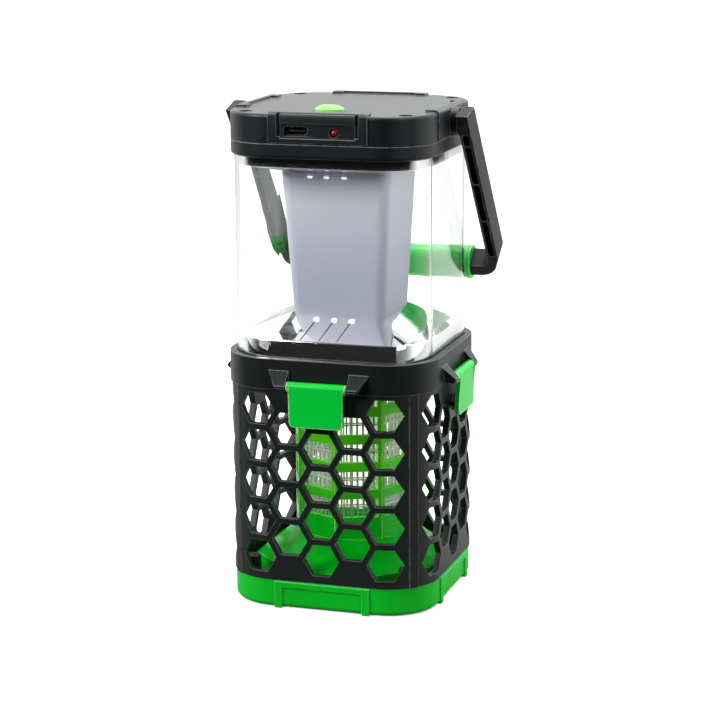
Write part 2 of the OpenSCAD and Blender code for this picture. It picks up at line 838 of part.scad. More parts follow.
module cap_screws() {
    color([0.45, 0.45, 0.47]) at_corners(cap_screw)
        translate([0, 0, cap_sink_z + 1.7]) mirror([0, 0, 1]) screw(7.2, 1.7);
}

// Push button: a domed head in the top plate, held in by its flange
module power_button() {
    head = z_plate + button_rise;
    dome_r = (button_r * button_r + button_dome * button_dome) / (2 * button_dome);
    color([0.35, 0.93, 0.3]) translate([0, button_y, 0]) {
        translate([0, 0, z_ceiling - 0.3]) linear_extrude(head - z_ceiling + 0.3)
            stadium(2 * (button_r + button_stretch), 2 * button_r);
        translate([0, 0, z_ceiling - 0.25 - button_flange]) linear_extrude(button_flange)
            stadium(2 * (button_r + button_stretch + 1.2), 2 * (button_r + 1));
        translate([0, 0, plunger_top]) cylinder(r = 1.4, h = z_ceiling - plunger_top);
        hull() for (s = [-1, 1]) translate([s * button_stretch, 0, head - 0.02])
            rotate_extrude($fn = 32) intersection() {
                translate([0, button_dome - dome_r]) circle(r = dome_r, $fn = 96);
                square([button_r, button_dome]);
            }
    }
}

// ---------------------------------------------------------------- handle

// Pins pressed into the cap that the handle turns on
module handle_pivots() {
    color([0.7, 0.7, 0.72]) for (s = [-1, 1])
        translate([s * (cap_half - 3.6), 0, pivot_z]) rotate([0, 90 * s, 0])
            cylinder(r = pivot_r, h = arm_in + arm_t - 1.9 - (cap_half - 3.6));
}

// Points of a circular arc
function arc(cx, cy, r, a, b, n) =
    [for (i = [0:n]) [cx + r * cos(a + (b - a) * i / n), cy + r * sin(a + (b - a) * i / n)]];

// Outline of the bail, drawn hanging straight down from its pivot
module bail_outline() {
    soft = 7.5;
    inner_soft = 3.5;
    right = concat(
        arc(arm_in - inner_soft, -bar_in + inner_soft, inner_soft, -90, 0, 8),
        [[arm_in, head_high], [arm_out, head_high], [arm_out, -corner_start]],
        arc(arm_out - 1.3 - soft, -handle_l + soft, soft, -18, -90, 12));
    polygon(concat(right, [for (i = [len(right) - 1:-1:0]) [-right[i][0], right[i][1]]]));
}

// Places the handle's own frame in its rest position against the lantern's back
module at_rest() {
    translate([0, 0, pivot_z]) rotate([rest_angle, 0, 0]) children();
}

// Black bail: channelled arms with cross ribs, joined by a bar
module handle_bail() {
    b = arm_breadth / 2;
    channel_x = arm_in + channel_wall_in;
    channel_w = arm_t - channel_wall_in - channel_wall_out;
    ribs = floor((corner_start - rib_first) / rib_pitch);
    color([0.085, 0.09, 0.095]) at_rest() difference() {
        rotate([90, 0, 0]) linear_extrude(arm_breadth, center = true) bail_outline();
        for (s = [0, 1]) mirror([s, 0, 0]) {
            translate([channel_x, -b - 1, -rib_first + rib_t / 2])
                cube([channel_w, arm_breadth - channel_back + 1, rib_first - rib_t / 2 - pivot_r - 0.9]);
            for (i = [0:ribs - 1])
                translate([channel_x, -b - 1, -rib_first - (i + 1) * rib_pitch + rib_t / 2])
                    cube([channel_w, arm_breadth - channel_back + 1, rib_pitch - rib_t]);
            translate([arm_in - 1, 0, 0]) rotate([0, 90, 0]) cylinder(r = pivot_r + run, h = arm_t - 0.6);
            translate([arm_in - 1, 0, 0]) rotate([90, 0, 90]) linear_extrude(arm_t + 2)
                polygon([[-b - 1, head_high + 0.4], [b + 1, head_low - 0.4],
                         [b + 1, head_high + 3], [-b - 1, head_high + 3]]);
        }
    }
}

// Green sleeve on the bar, with a flange at each end
module handle_grip() {
    color([0.1, 0.82, 0.2]) at_rest() translate([0, 0, -handle_l + bar_t / 2]) difference() {
        union() {
            rotate([0, 90, 0]) cylinder(r = grip_d / 2, h = 2 * grip_half, center = true);
            for (s = [0, 1]) mirror([s, 0, 0])
                translate([grip_half - flange_t, 0, 0]) rotate([0, 90, 0]) cylinder(r = flange_r, h = flange_t);
        }
        cube([cage_w, arm_breadth, bar_t], center = true);
    }
}

// ---------------------------------------------------------------- nodes

base_tray();
bug_funnel();
base_screws();
grille_cage();
collar();
latch_pins();
latch_front();
latch_right();
latch_back();
latch_left();
zapper_frame();
outer_grid();
inner_grid();
uv_lamp_post();
uv_leds();
high_voltage_board();
step_up_transformer();
storage_capacitors();
window_gasket();
lower_reflector();
clear_window();
diffuser();
upper_reflector();
lamp_board();
lamp_leds();
wire_conduit();
cap_base();
battery_pack();
main_board();
usb_c_socket();
status_led();
tact_switch();
cap_cover();
cap_screws();
handle_pivots();
switch_plunger();
power_button();
handle_bail();
handle_grip();
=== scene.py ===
"""A camping lantern with an electric insect zapper below it, dressed around its CAD frame.
The sections follow the object from the floor up, as it is put together."""
import bmesh
import bpy
import numpy as np
from math import radians, pi
from mathutils import Matrix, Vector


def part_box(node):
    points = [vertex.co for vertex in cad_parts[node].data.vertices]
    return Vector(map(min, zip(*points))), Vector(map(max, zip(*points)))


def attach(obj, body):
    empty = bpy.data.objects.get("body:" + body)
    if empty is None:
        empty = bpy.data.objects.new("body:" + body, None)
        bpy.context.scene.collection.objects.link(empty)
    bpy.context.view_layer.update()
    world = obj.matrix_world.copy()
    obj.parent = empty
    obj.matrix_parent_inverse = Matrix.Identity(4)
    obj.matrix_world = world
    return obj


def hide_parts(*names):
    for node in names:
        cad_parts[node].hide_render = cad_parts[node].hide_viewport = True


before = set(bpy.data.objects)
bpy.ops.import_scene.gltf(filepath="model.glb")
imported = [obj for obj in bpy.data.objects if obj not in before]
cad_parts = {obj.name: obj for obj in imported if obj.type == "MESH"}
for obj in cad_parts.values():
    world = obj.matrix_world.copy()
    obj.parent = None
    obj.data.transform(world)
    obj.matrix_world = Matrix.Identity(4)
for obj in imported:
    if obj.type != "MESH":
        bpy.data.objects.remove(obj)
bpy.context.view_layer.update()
MM = 0.001

# ------------------------------------------------------------------ studio
# A pale floor and backdrop with soft light, and a long lens from the front, turned a little to the right.
# Seen straight on, or through the clear window, floor and backdrop are pale. In mirrors, and as light
# on the object, the part in front of it is dark, as in a studio with black cards.
azimuth, elevation, roll = radians(18.09), radians(12.94), radians(-0.44)
look_at = np.array([0, 0, 85.65]) * MM
distance = 920.7 * MM
sin_a, cos_a, sin_e, cos_e = np.sin(azimuth), np.cos(azimuth), np.sin(elevation), np.cos(elevation)
back = np.array([sin_a * cos_e, -cos_a * cos_e, sin_e])
level_right = np.array([cos_a, sin_a, 0])
level_up = np.cross(back, level_right)
right = np.cos(roll) * level_right + np.sin(roll) * level_up
up = np.cos(roll) * level_up - np.sin(roll) * level_right
lens = bpy.data.cameras.new("camera")
lens.lens, lens.sensor_width = 115.75, 36
lens.shift_x, lens.shift_y = 0.0097, 0.0197
lens.clip_start, lens.clip_end = 0.05, 30
camera = bpy.data.objects.new("camera", lens)
turned = Matrix(np.column_stack([right, up, back]).tolist()).to_4x4()
camera.matrix_world = Matrix.Translation(look_at + back * distance) @ turned
bpy.context.scene.collection.objects.link(camera)
bpy.context.scene.camera = camera
bpy.context.scene.view_settings.view_transform = "Standard"


def soft_box(name, place, size, watts, tint=(1, 1, 1)):
    """A square area light at a point, facing the middle of the object."""
    light = bpy.data.lights.new(name, "AREA")
    light.size, light.energy, light.color = size, watts, tint
    lamp = bpy.data.objects.new(name, light)
    away = (np.array(place) - look_at) / np.linalg.norm(np.array(place) - look_at)
    side = np.cross([0, 0, 1], away)
    side = side / np.linalg.norm(side)
    lamp.matrix_world = Matrix.Translation(place) @ Matrix(
        np.column_stack([side, np.cross(away, side), away]).tolist()).to_4x4()
    bpy.context.scene.collection.objects.link(lamp)


soft_box("key", (-0.75, -0.85, 0.75), 0.6, 15.5)
soft_box("fill", (0.9, -0.7, 0.5), 0.5, 3)
soft_box("top", (0.1, 0.25, 1.1), 0.7, 7)

world = bpy.data.worlds.new("studio")
bpy.context.scene.world = world
world.use_nodes = True
air = world.node_tree
air.nodes.clear()
aim = air.nodes.new("ShaderNodeTexCoord")
apart = air.nodes.new("ShaderNodeSeparateXYZ")
depth = air.nodes.new("ShaderNodeMapRange")
depth.inputs["From Min"].default_value, depth.inputs["From Max"].default_value = -0.7, 0.35
depth.inputs["To Min"].default_value, depth.inputs["To Max"].default_value = 0.02, 1.75
depth.interpolation_type = "SMOOTHSTEP"
seen = air.nodes.new("ShaderNodeMix")
sky = air.nodes.new("ShaderNodeBackground")
sky_out = air.nodes.new("ShaderNodeOutputWorld")
air.links.new(aim.outputs["Generated"], apart.inputs[0])
air.links.new(apart.outputs["Y"], depth.inputs["Value"])
air.links.new(depth.outputs["Result"], seen.inputs["A"])
seen.inputs["B"].default_value = 1.0
sky.inputs["Color"].default_value = (1, 1, 1, 1)
air.links.new(seen.outputs["Result"], sky.inputs["Strength"])
air.links.new(sky.outputs[0], sky_out.inputs["Surface"])


def straight_sight(nodes, links):
    """Value that is 1 where the camera looks straight on, or through glass with no mirror in between."""
    path = nodes.new("ShaderNodeLightPath")
    unmirrored, through, straight = (nodes.new("ShaderNodeMath") for _ in range(3))
    unmirrored.operation, through.operation, straight.operation = "LESS_THAN", "MULTIPLY", "MAXIMUM"
    unmirrored.inputs[1].default_value = 0.5
    links.new(path.outputs["Glossy Depth"], unmirrored.inputs[0])
    links.new(unmirrored.outputs[0], through.inputs[0])
    links.new(path.outputs["Is Transmission Ray"], through.inputs[1])
    links.new(through.outputs[0], straight.inputs[0])
    links.new(path.outputs["Is Camera Ray"], straight.inputs[1])
    return straight.outputs[0]


air.links.new(straight_sight(air.nodes, air.links), seen.inputs["Factor"])

floor_half = 7
floor_mesh = bpy.data.meshes.new("floor")
floor_mesh.from_pydata([(x * floor_half, y * floor_half, 0) for x, y in ((-1, -1), (1, -1), (1, 1), (-1, 1))],
                       [], [(0, 1, 2, 3)])
floor = bpy.data.objects.new("floor", floor_mesh)
bpy.context.scene.collection.objects.link(floor)
pale = bpy.data.materials.new("pale floor")
pale.use_nodes = True
ground = pale.node_tree
ground_shader = ground.nodes["Principled BSDF"]
ground_shader.inputs["Roughness"].default_value = 0.9
ground_shader.inputs["Specular IOR Level"].default_value = 0
ground_place = ground.nodes.new("ShaderNodeTexCoord")
ground_axes = ground.nodes.new("ShaderNodeSeparateXYZ")
ground_fade = ground.nodes.new("ShaderNodeMapRange")
ground_fade.inputs["From Min"].default_value, ground_fade.inputs["From Max"].default_value = -0.12, 0.1
ground_fade.inputs["To Min"].default_value, ground_fade.inputs["To Max"].default_value = 0.002, 0.6
ground_sight = straight_sight(ground.nodes, ground.links)
ground_pick = ground.nodes.new("ShaderNodeMix")
ground_pick.inputs["B"].default_value = 0.93
ground.links.new(ground_place.outputs["Object"], ground_axes.inputs[0])
ground.links.new(ground_axes.outputs["Y"], ground_fade.inputs["Value"])
ground.links.new(ground_sight, ground_pick.inputs["Factor"])
ground.links.new(ground_fade.outputs["Result"], ground_pick.inputs["A"])
ground.links.new(ground_pick.outputs["Result"], ground_shader.inputs["Base Color"])
lift = ground.nodes.new("ShaderNodeMath")
lift.operation = "MULTIPLY"
lift.inputs[1].default_value = 0.35
ground.links.new(ground_sight, lift.inputs[0])
ground.links.new(lift.outputs[0], ground_shader.inputs["Emission Strength"])
ground_shader.inputs["Emission Color"].default_value = (1, 1, 1, 1)
floor_mesh.materials.append(pale)


# ------------------------------------------------------------------ tray
# The green tray is one injection moulding in glossy plastic, with raised borders on its four sides
# and an eight-sided cup inside. Four screws from below hold it to the cage.
def moulded_surface():
    """Node group shared by the mouldings: colour drifts a little, the rounded edges carry a painted highlight
    in broken patches, and the spark-eroded grain of the mould gives the roughness and the normal."""
    group = bpy.data.node_groups.new("moulded surface", "ShaderNodeTree")
    sockets = (("Color", "NodeSocketColor"), ("Painted Highlight Color", "NodeSocketColor"), ("Gloss", "NodeSocketFloat"),
               ("Grain Scale", "NodeSocketFloat"), ("Grain Depth", "NodeSocketFloat"))
    for label, kind in sockets:
        group.interface.new_socket(label, in_out="INPUT", socket_type=kind)
    results = (("Color", "NodeSocketColor"), ("Roughness", "NodeSocketFloat"), ("Normal", "NodeSocketVector"))
    for label, kind in results:
        group.interface.new_socket(label, in_out="OUTPUT", socket_type=kind)
    node, link = group.nodes.new, group.links.new
    given, made = node("NodeGroupInput"), node("NodeGroupOutput")
    place = node("ShaderNodeTexCoord")
    cloud = node("ShaderNodeTexNoise")
    cloud.inputs["Scale"].default_value, cloud.inputs["Detail"].default_value = 55, 3
    link(place.outputs["Object"], cloud.inputs["Vector"])
    drift = node("ShaderNodeMapRange")
    drift.inputs["To Min"].default_value, drift.inputs["To Max"].default_value = 0.9, 1.1
    link(cloud.outputs["Fac"], drift.inputs["Value"])
    shade = node("ShaderNodeHueSaturation")
    link(given.outputs["Color"], shade.inputs["Color"])
    link(drift.outputs["Result"], shade.inputs["Value"])
    # Painted highlight: faces marked corner by the bevel are mixed, in broken patches, towards a lighter colour.
    corner = node("ShaderNodeAttribute")
    corner.attribute_name = "corner"
    highlight_breaks = node("ShaderNodeTexNoise")
    highlight_breaks.inputs["Scale"].default_value, highlight_breaks.inputs["Detail"].default_value = 420, 4
    link(place.outputs["Object"], highlight_breaks.inputs["Vector"])
    highlight_patches = node("ShaderNodeMapRange")
    highlight_patches.inputs["From Min"].default_value, highlight_patches.inputs["From Max"].default_value = 0.25, 0.5
    link(highlight_breaks.outputs["Fac"], highlight_patches.inputs["Value"])
    painted_highlight = node("ShaderNodeMath")
    painted_highlight.operation = "MULTIPLY"
    link(corner.outputs["Fac"], painted_highlight.inputs[0])
    link(highlight_patches.outputs["Result"], painted_highlight.inputs[1])
    blend = node("ShaderNodeMix")
    blend.data_type = "RGBA"
    link(painted_highlight.outputs[0], blend.inputs["Factor"])
    link(shade.outputs["Color"], blend.inputs["A"])
    link(given.outputs["Painted Highlight Color"], blend.inputs["B"])
    link(blend.outputs["Result"], made.inputs["Color"])
    grain = node("ShaderNodeTexNoise")
    grain.inputs["Detail"].default_value = 2
    link(place.outputs["Object"], grain.inputs["Vector"])
    link(given.outputs["Grain Scale"], grain.inputs["Scale"])
    rough = node("ShaderNodeMath")
    rough.operation = "MULTIPLY_ADD"
    rough.inputs[1].default_value = 0.12
    link(grain.outputs["Fac"], rough.inputs[0])
    link(given.outputs["Gloss"], rough.inputs[2])
    link(rough.outputs[0], made.inputs["Roughness"])
    bump = node("ShaderNodeBump")
    bump.inputs["Distance"].default_value = 0.0001
    link(grain.outputs["Fac"], bump.inputs["Height"])
    link(given.outputs["Grain Depth"], bump.inputs["Strength"])
    link(bump.outputs["Normal"], made.inputs["Normal"])
    return group


surface_group = moulded_surface()


def moulding(name, color, highlight_color, gloss, grain_scale, grain_depth, specular=0.5, glow=None):
    """Moulded plastic; colours are linear, gloss is the roughness between the grains. highlight_color is a painted
    highlight on the rounded edges; glow, where given, is painted light, the plastic shining with its own colour.
    """
    material = bpy.data.materials.new(name)
    material.use_nodes = True
    tree = material.node_tree
    shader = tree.nodes["Principled BSDF"]
    finish = tree.nodes.new("ShaderNodeGroup")
    finish.node_tree = surface_group
    finish.inputs["Color"].default_value = (*color, 1)
    finish.inputs["Painted Highlight Color"].default_value = (*highlight_color, 1)
    finish.inputs["Gloss"].default_value = gloss
    finish.inputs["Grain Scale"].default_value = grain_scale
    finish.inputs["Grain Depth"].default_value = grain_depth
    tree.links.new(finish.outputs["Color"], shader.inputs["Base Color"])
    tree.links.new(finish.outputs["Roughness"], shader.inputs["Roughness"])
    tree.links.new(finish.outputs["Normal"], shader.inputs["Normal"])
    shader.inputs["Specular IOR Level"].default_value = specular
    if glow:
        tree.links.new(finish.outputs["Color"], shader.inputs["Emission Color"])
        shader.inputs["Emission Strength"].default_value = glow
    return material


def finished(node, body, material, edge, sharp=32):
    """A CAD node's merged surface with each corner sharper than `sharp` degrees rounded to `edge` millimetres;
    the new faces carry the attribute `corner`. It stands for the node and rides on its body."""
    work = bmesh.new()
    work.from_mesh(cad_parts[node].data)
    bmesh.ops.remove_doubles(work, verts=work.verts, dist=4e-6)
    bmesh.ops.dissolve_degenerate(work, edges=work.edges, dist=4e-6)
    bmesh.ops.dissolve_limit(work, angle_limit=radians(0.6), verts=work.verts, edges=work.edges)
    corners = [e for e in work.edges if e.is_manifold and e.calc_face_angle(0) > radians(sharp)]
    mark = work.faces.layers.float.new("corner")
    if edge and corners:
        made = bmesh.ops.bevel(work, geom=corners, offset=edge * MM, offset_type="OFFSET", segments=2,
                               profile=0.5, affect="EDGES", clamp_overlap=False, harden_normals=False)
        for face in made["faces"]:
            face[mark] = 1.0
    bmesh.ops.triangulate(work, faces=[f for f in work.faces if len(f.verts) > 4])
    mesh = bpy.data.meshes.new(node + "_finish")
    work.to_mesh(mesh)
    work.free()
    mesh.shade_smooth()
    mesh.set_sharp_from_angle(angle=radians(sharp + 6))
    mesh.materials.append(material)
    piece = bpy.data.objects.new(node + "_finish", mesh)
    bpy.context.scene.collection.objects.link(piece)
    even = piece.modifiers.new("even shading", "WEIGHTED_NORMAL")
    even.keep_sharp = True
    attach(piece, body)
    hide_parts(node)
    return piece


tray_plastic = moulding("tray plastic", (0.0, 0.5, 0.016), (0.1, 0.75, 0.18), 0.3, 900, 0.05, 0.22)
finished("base_tray", "lantern", tray_plastic, 0.15)


def metal(name, color, roughness, scratch_scale, stretch=(1, 1, 1), bare=1):
    """Metal whose roughness follows fine scratches; stretch sets their direction, and bare is 1 for
    naked metal and less for a frosted plating."""
    material = bpy.data.materials.new(name)
    material.use_nodes = True
    tree = material.node_tree
    shader = tree.nodes["Principled BSDF"]
    shader.inputs["Metallic"].default_value = bare
    place, turn = tree.nodes.new("ShaderNodeTexCoord"), tree.nodes.new("ShaderNodeMapping")
    turn.inputs["Scale"].default_value = stretch
    scratch = tree.nodes.new("ShaderNodeTexNoise")
    scratch.inputs["Scale"].default_value, scratch.inputs["Detail"].default_value = scratch_scale, 5
    level = tree.nodes.new("ShaderNodeMapRange")
    level.inputs["To Min"].default_value = roughness * 0.7
    level.inputs["To Max"].default_value = roughness * 1.3
    tint = tree.nodes.new("ShaderNodeMix")
    tint.data_type = "RGBA"
    tint.inputs["A"].default_value = (*[c * 0.82 for c in color], 1)
    tint.inputs["B"].default_value = (*color, 1)
    tree.links.new(place.outputs["Object"], turn.inputs["Vector"])
    tree.links.new(turn.outputs["Vector"], scratch.inputs["Vector"])
    tree.links.new(scratch.outputs["Fac"], level.inputs["Value"])
    tree.links.new(level.outputs["Result"], shader.inputs["Roughness"])
    tree.links.new(scratch.outputs["Fac"], tint.inputs["Factor"])
    tree.links.new(tint.outputs["Result"], shader.inputs["Base Color"])
    return material


zinc = metal("zinc plate", (0.62, 0.63, 0.65), 0.32, 700, (1, 1, 0.2))
finished("base_screws", "lantern", zinc, 0.15)


# ------------------------------------------------------------------ funnel
# The glossy green shoulder between the cup and the grid; it drops into the cup's rim.
# The funnel plastic glows faintly with its own colour: painted light.
funnel_plastic = moulding("funnel plastic", (0.0, 0.46, 0.014), (0.05, 0.7, 0.1), 0.2, 500, 0.02, 0.12, 0.1)
finished("bug_funnel", "lantern", funnel_plastic, 0.25)


# ------------------------------------------------------------------ cage
# The black cage is one satin moulding, pierced with hexagons on its four sides.
cage_plastic = moulding("cage plastic", (0.0075, 0.0095, 0.0095), (0.08, 0.085, 0.085), 0.38, 1400, 0.16, 0.38)
finished("grille_cage", "lantern", cage_plastic, 0.2)


# ------------------------------------------------------------------ collar and latches
# The collar is the same black plastic, a little smoother. The green latches hang on steel pins
# between its lugs and hook under a catch on each side of the cage.
collar_plastic = moulding("collar plastic", (0.0065, 0.0095, 0.0095), (0.13, 0.135, 0.135), 0.36, 1500, 0.22, 0.3)
finished("collar", "lantern", collar_plastic, 0.2)
latch_plastic = moulding("latch plastic", (0.0, 0.63, 0.045), (0.45, 0.97, 0.35), 0.28, 900, 0.05, 0.25)
for side in ("front", "right", "back", "left"):
    finished("latch_" + side, "latch_" + side, latch_plastic, 0.45)
turned_steel = metal("turned steel", (0.55, 0.56, 0.57), 0.25, 900, (0.2, 0.2, 1))
finished("latch_pins", "lantern", turned_steel, 0.1)


# ------------------------------------------------------------------ zapper
# A yellow-green insulating frame holds two rings of plated wires; violet lamps on a white post stand inside.
# Painted light on the frame: it glows faintly with its own colour, and its colour runs from deep green at the foot
# to a lighter yellow-green higher up.
frame_plastic = moulding("frame plastic", (0.1, 0.52, 0.02), (0.3, 0.8, 0.15), 0.2, 800, 0.05, 0.25, 0.16)
frame_tree = frame_plastic.node_tree
frame_place, frame_axes = frame_tree.nodes.new("ShaderNodeTexCoord"), frame_tree.nodes.new("ShaderNodeSeparateXYZ")
frame_light_rise, frame_painted_light = frame_tree.nodes.new("ShaderNodeMapRange"), frame_tree.nodes.new("ShaderNodeMix")
frame_light_rise.inputs["From Min"].default_value, frame_light_rise.inputs["From Max"].default_value = 0.03, 0.06
frame_painted_light.data_type = "RGBA"
frame_painted_light.inputs["A"].default_value, frame_painted_light.inputs["B"].default_value = (0.0, 0.47, 0.01, 1), (0.09, 0.66, 0.006, 1)
frame_tree.links.new(frame_place.outputs["Object"], frame_axes.inputs[0])
frame_tree.links.new(frame_axes.outputs["Z"], frame_light_rise.inputs["Value"])
frame_tree.links.new(frame_light_rise.outputs["Result"], frame_painted_light.inputs["Factor"])
frame_tree.links.new(frame_painted_light.outputs["Result"], frame_tree.nodes["Group"].inputs["Color"])
finished("zapper_frame", "lantern", frame_plastic, 0.2)
drawn_wire = metal("drawn wire", (0.97, 0.97, 0.95), 0.42, 500, (1, 1, 0.1), 0.35)
for grid in ("outer_grid", "inner_grid"):
    finished(grid, "lantern", drawn_wire, 0)
plain_white = moulding("plain white plastic", (0.8, 0.8, 0.76), (0.9, 0.9, 0.88), 0.4, 900, 0.06)
# The post's white plastic glows with its own colour: painted light that brightens the inside of the cage.
lit_white = moulding("lit white plastic", (0.85, 0.86, 0.78), (0.95, 0.95, 0.9), 0.4, 900, 0.06, 0.5, 1.1)
finished("uv_lamp_post", "lantern", lit_white, 0.2)
violet_lens = moulding("violet lens", (0.6, 0.55, 0.8), (0.7, 0.65, 0.9), 0.12, 600, 0.02, 0.5, 0.9)
finished("uv_leds", "lantern", violet_lens, 0.25)


# ------------------------------------------------------------------ supply under the lower dish
# A green board with a taped transformer and two sleeved capacitors; the dish hides it.
def mottled(name, color, second, scale, roughness):
    """A plain finish that wanders between two colours."""
    material = bpy.data.materials.new(name)
    material.use_nodes = True
    tree = material.node_tree
    shader = tree.nodes["Principled BSDF"]
    place = tree.nodes.new("ShaderNodeTexCoord")
    patch = tree.nodes.new("ShaderNodeTexNoise")
    patch.inputs["Scale"].default_value, patch.inputs["Detail"].default_value = scale, 3
    tint = tree.nodes.new("ShaderNodeMix")
    tint.data_type = "RGBA"
    tint.inputs["A"].default_value, tint.inputs["B"].default_value = (*color, 1), (*second, 1)
    tree.links.new(place.outputs["Object"], patch.inputs["Vector"])
    tree.links.new(patch.outputs["Fac"], tint.inputs["Factor"])
    tree.links.new(tint.outputs["Result"], shader.inputs["Base Color"])
    shader.inputs["Roughness"].default_value = roughness
    return material


solder_mask = mottled("solder mask", (0.01, 0.13, 0.04), (0.03, 0.22, 0.08), 900, 0.3)
finished("high_voltage_board", "lantern", solder_mask, 0.1)
winding_tape = mottled("winding tape", (0.75, 0.5, 0.05), (0.85, 0.62, 0.12), 300, 0.35)
finished("step_up_transformer", "lantern", winding_tape, 0.3)
sleeve = mottled("capacitor sleeve", (0.01, 0.02, 0.2), (0.03, 0.05, 0.3), 200, 0.2)
finished("storage_capacitors", "lantern", sleeve, 0.3)
finished("wire_conduit", "lantern", plain_white, 0)


# ------------------------------------------------------------------ dishes
# Two vacuum-plated dishes, mirror bright, with an upright rim and four slopes that run to the shade.
def square_rows(rows, arc_steps=14):
    """Grid of points: row i is a rounded square of half-width h, corner radius r and height z.
    Each corner is a quarter circle of arc_steps steps about (h - r, h - r); straight sides join them."""
    h, r, z = (np.array(column, float)[:, None] for column in zip(*rows))
    turn = np.linspace(0, pi / 2, arc_steps + 1)
    angle = np.concatenate([turn + quarter * pi / 2 for quarter in range(4)])
    sign_x = np.repeat([1, -1, -1, 1], arc_steps + 1)
    sign_y = np.repeat([1, 1, -1, -1], arc_steps + 1)
    x = sign_x * (h - r) + r * np.cos(angle)
    y = sign_y * (h - r) + r * np.sin(angle)
    return np.stack([x, y, np.broadcast_to(z, x.shape)], axis=-1) * MM


def wrapped(name, grid, close_rows=True, fill_ends=False):
    """Mesh of a grid of points that closes on itself along each row, and from the last row to the first
    where close_rows; fill_ends caps the first and last rows instead. Faces are turned outwards."""
    rows, columns = grid.shape[:2]
    index = np.arange(rows * columns).reshape(rows, columns)
    first = index if close_rows else index[:-1]
    second = np.roll(index, -1, axis=0) if close_rows else index[1:]
    quads = np.stack([first, np.roll(first, -1, axis=1), np.roll(second, -1, axis=1), second], axis=-1)
    faces = quads.reshape(-1, 4).tolist()
    if fill_ends:
        faces += [index[0, ::-1].tolist(), index[-1].tolist()]
    mesh = bpy.data.meshes.new(name)
    mesh.from_pydata(grid.reshape(-1, 3).tolist(), [], faces)
    work = bmesh.new()
    work.from_mesh(mesh)
    bmesh.ops.remove_doubles(work, verts=work.verts, dist=1e-7)
    bmesh.ops.recalc_face_normals(work, faces=work.faces)
    work.to_mesh(mesh)
    work.free()
    mesh.shade_smooth()
    mesh.set_sharp_from_angle(angle=radians(38))
    piece = bpy.data.objects.new(name, mesh)
    bpy.context.scene.collection.objects.link(piece)
    return piece


def dressed(piece, material, body, slot, *nodes):
    """Gives a new piece its material and body, and hides the nodes it stands for. slot is not used."""
    piece.data.materials.append(material)
    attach(piece, body)
    if nodes:
        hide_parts(*nodes)
    return piece


def node_span(node):
    """Half-width, lowest and highest level of a node, in millimetres."""
    low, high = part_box(node)
    return high[0] / MM, low[2] / MM, high[2] / MM


mirror = bpy.data.materials.new("vacuum plating")
mirror.use_nodes = True
plating = mirror.node_tree
plate_shader = plating.nodes["Principled BSDF"]
plate_shader.inputs["Metallic"].default_value = 1
plate_place = plating.nodes.new("ShaderNodeTexCoord")
ripple = plating.nodes.new("ShaderNodeTexNoise")
ripple.inputs["Scale"].default_value = 60
ripple_bump = plating.nodes.new("ShaderNodeBump")
ripple_bump.inputs["Strength"].default_value, ripple_bump.inputs["Distance"].default_value = 0.25, 0.0003
haze = plating.nodes.new("ShaderNodeMapRange")
haze.inputs["To Min"].default_value, haze.inputs["To Max"].default_value = 0.015, 0.06
film = plating.nodes.new("ShaderNodeMix")
film.data_type = "RGBA"
film.inputs["A"].default_value, film.inputs["B"].default_value = (0.86, 0.87, 0.89, 1), (0.93, 0.93, 0.94, 1)
plating.links.new(plate_place.outputs["Object"], ripple.inputs["Vector"])
plating.links.new(ripple.outputs["Fac"], ripple_bump.inputs["Height"])
plating.links.new(ripple_bump.outputs["Normal"], plate_shader.inputs["Normal"])
plating.links.new(ripple.outputs["Fac"], haze.inputs["Value"])
plating.links.new(haze.outputs["Result"], plate_shader.inputs["Roughness"])
plating.links.new(ripple.outputs["Fac"], film.inputs["Factor"])
plating.links.new(film.outputs["Result"], plate_shader.inputs["Base Color"])

dish_half, dish_low, _ = node_span("lower_reflector")
shade_top, shade_low, shade_high = node_span("diffuser")
# A glowing white for the painted reflections of the lamps, and a dark finish for the painted streaks on the dish.
reflection_white = moulding("painted reflection white", (0.95, 0.95, 0.95), (1, 1, 1), 0.15, 900, 0.02, 0.5, 0.8)
streak_dark = mottled("painted reflection streak", (0.01, 0.01, 0.012), (0.03, 0.03, 0.032), 1500, 0.6)
cage_half, cage_corner_r = 41.8, 20.5
corner_center = cage_half - cage_corner_r
dish_r = dish_half - corner_center
wall = 1.2
rim_top = dish_low + 13.3
foot = shade_low
shade_foot = 18.6
seat, seat_r = shade_foot + 0.9, 5
dish_rows = [
    (dish_half, dish_r, dish_low + 0.2), (dish_half, dish_r, rim_top - 0.5),
    (dish_half - 0.15, dish_r - 0.15, rim_top - 0.15), (dish_half - 0.5, dish_r - 0.5, rim_top + 0.1),
    (seat + 0.3, seat_r + 0.2, foot - 0.1), (seat, seat_r, foot - 0.02), (seat - 0.6, seat_r - 0.6, foot),
    (15, 3, foot), (15, 3, foot - wall), (seat - 0.8, seat_r - 0.8, foot - wall),
    (dish_half - wall - 0.2, dish_r - wall, rim_top - wall), (dish_half - wall, dish_r - wall, rim_top - wall - 0.6),
    (dish_half - wall, dish_r - wall, dish_low), (dish_half - 0.2, dish_r - 0.2, dish_low)]
dressed(wrapped("lower_dish", square_rows(dish_rows)), mirror, "lantern", "mirror_chrome", "lower_reflector")

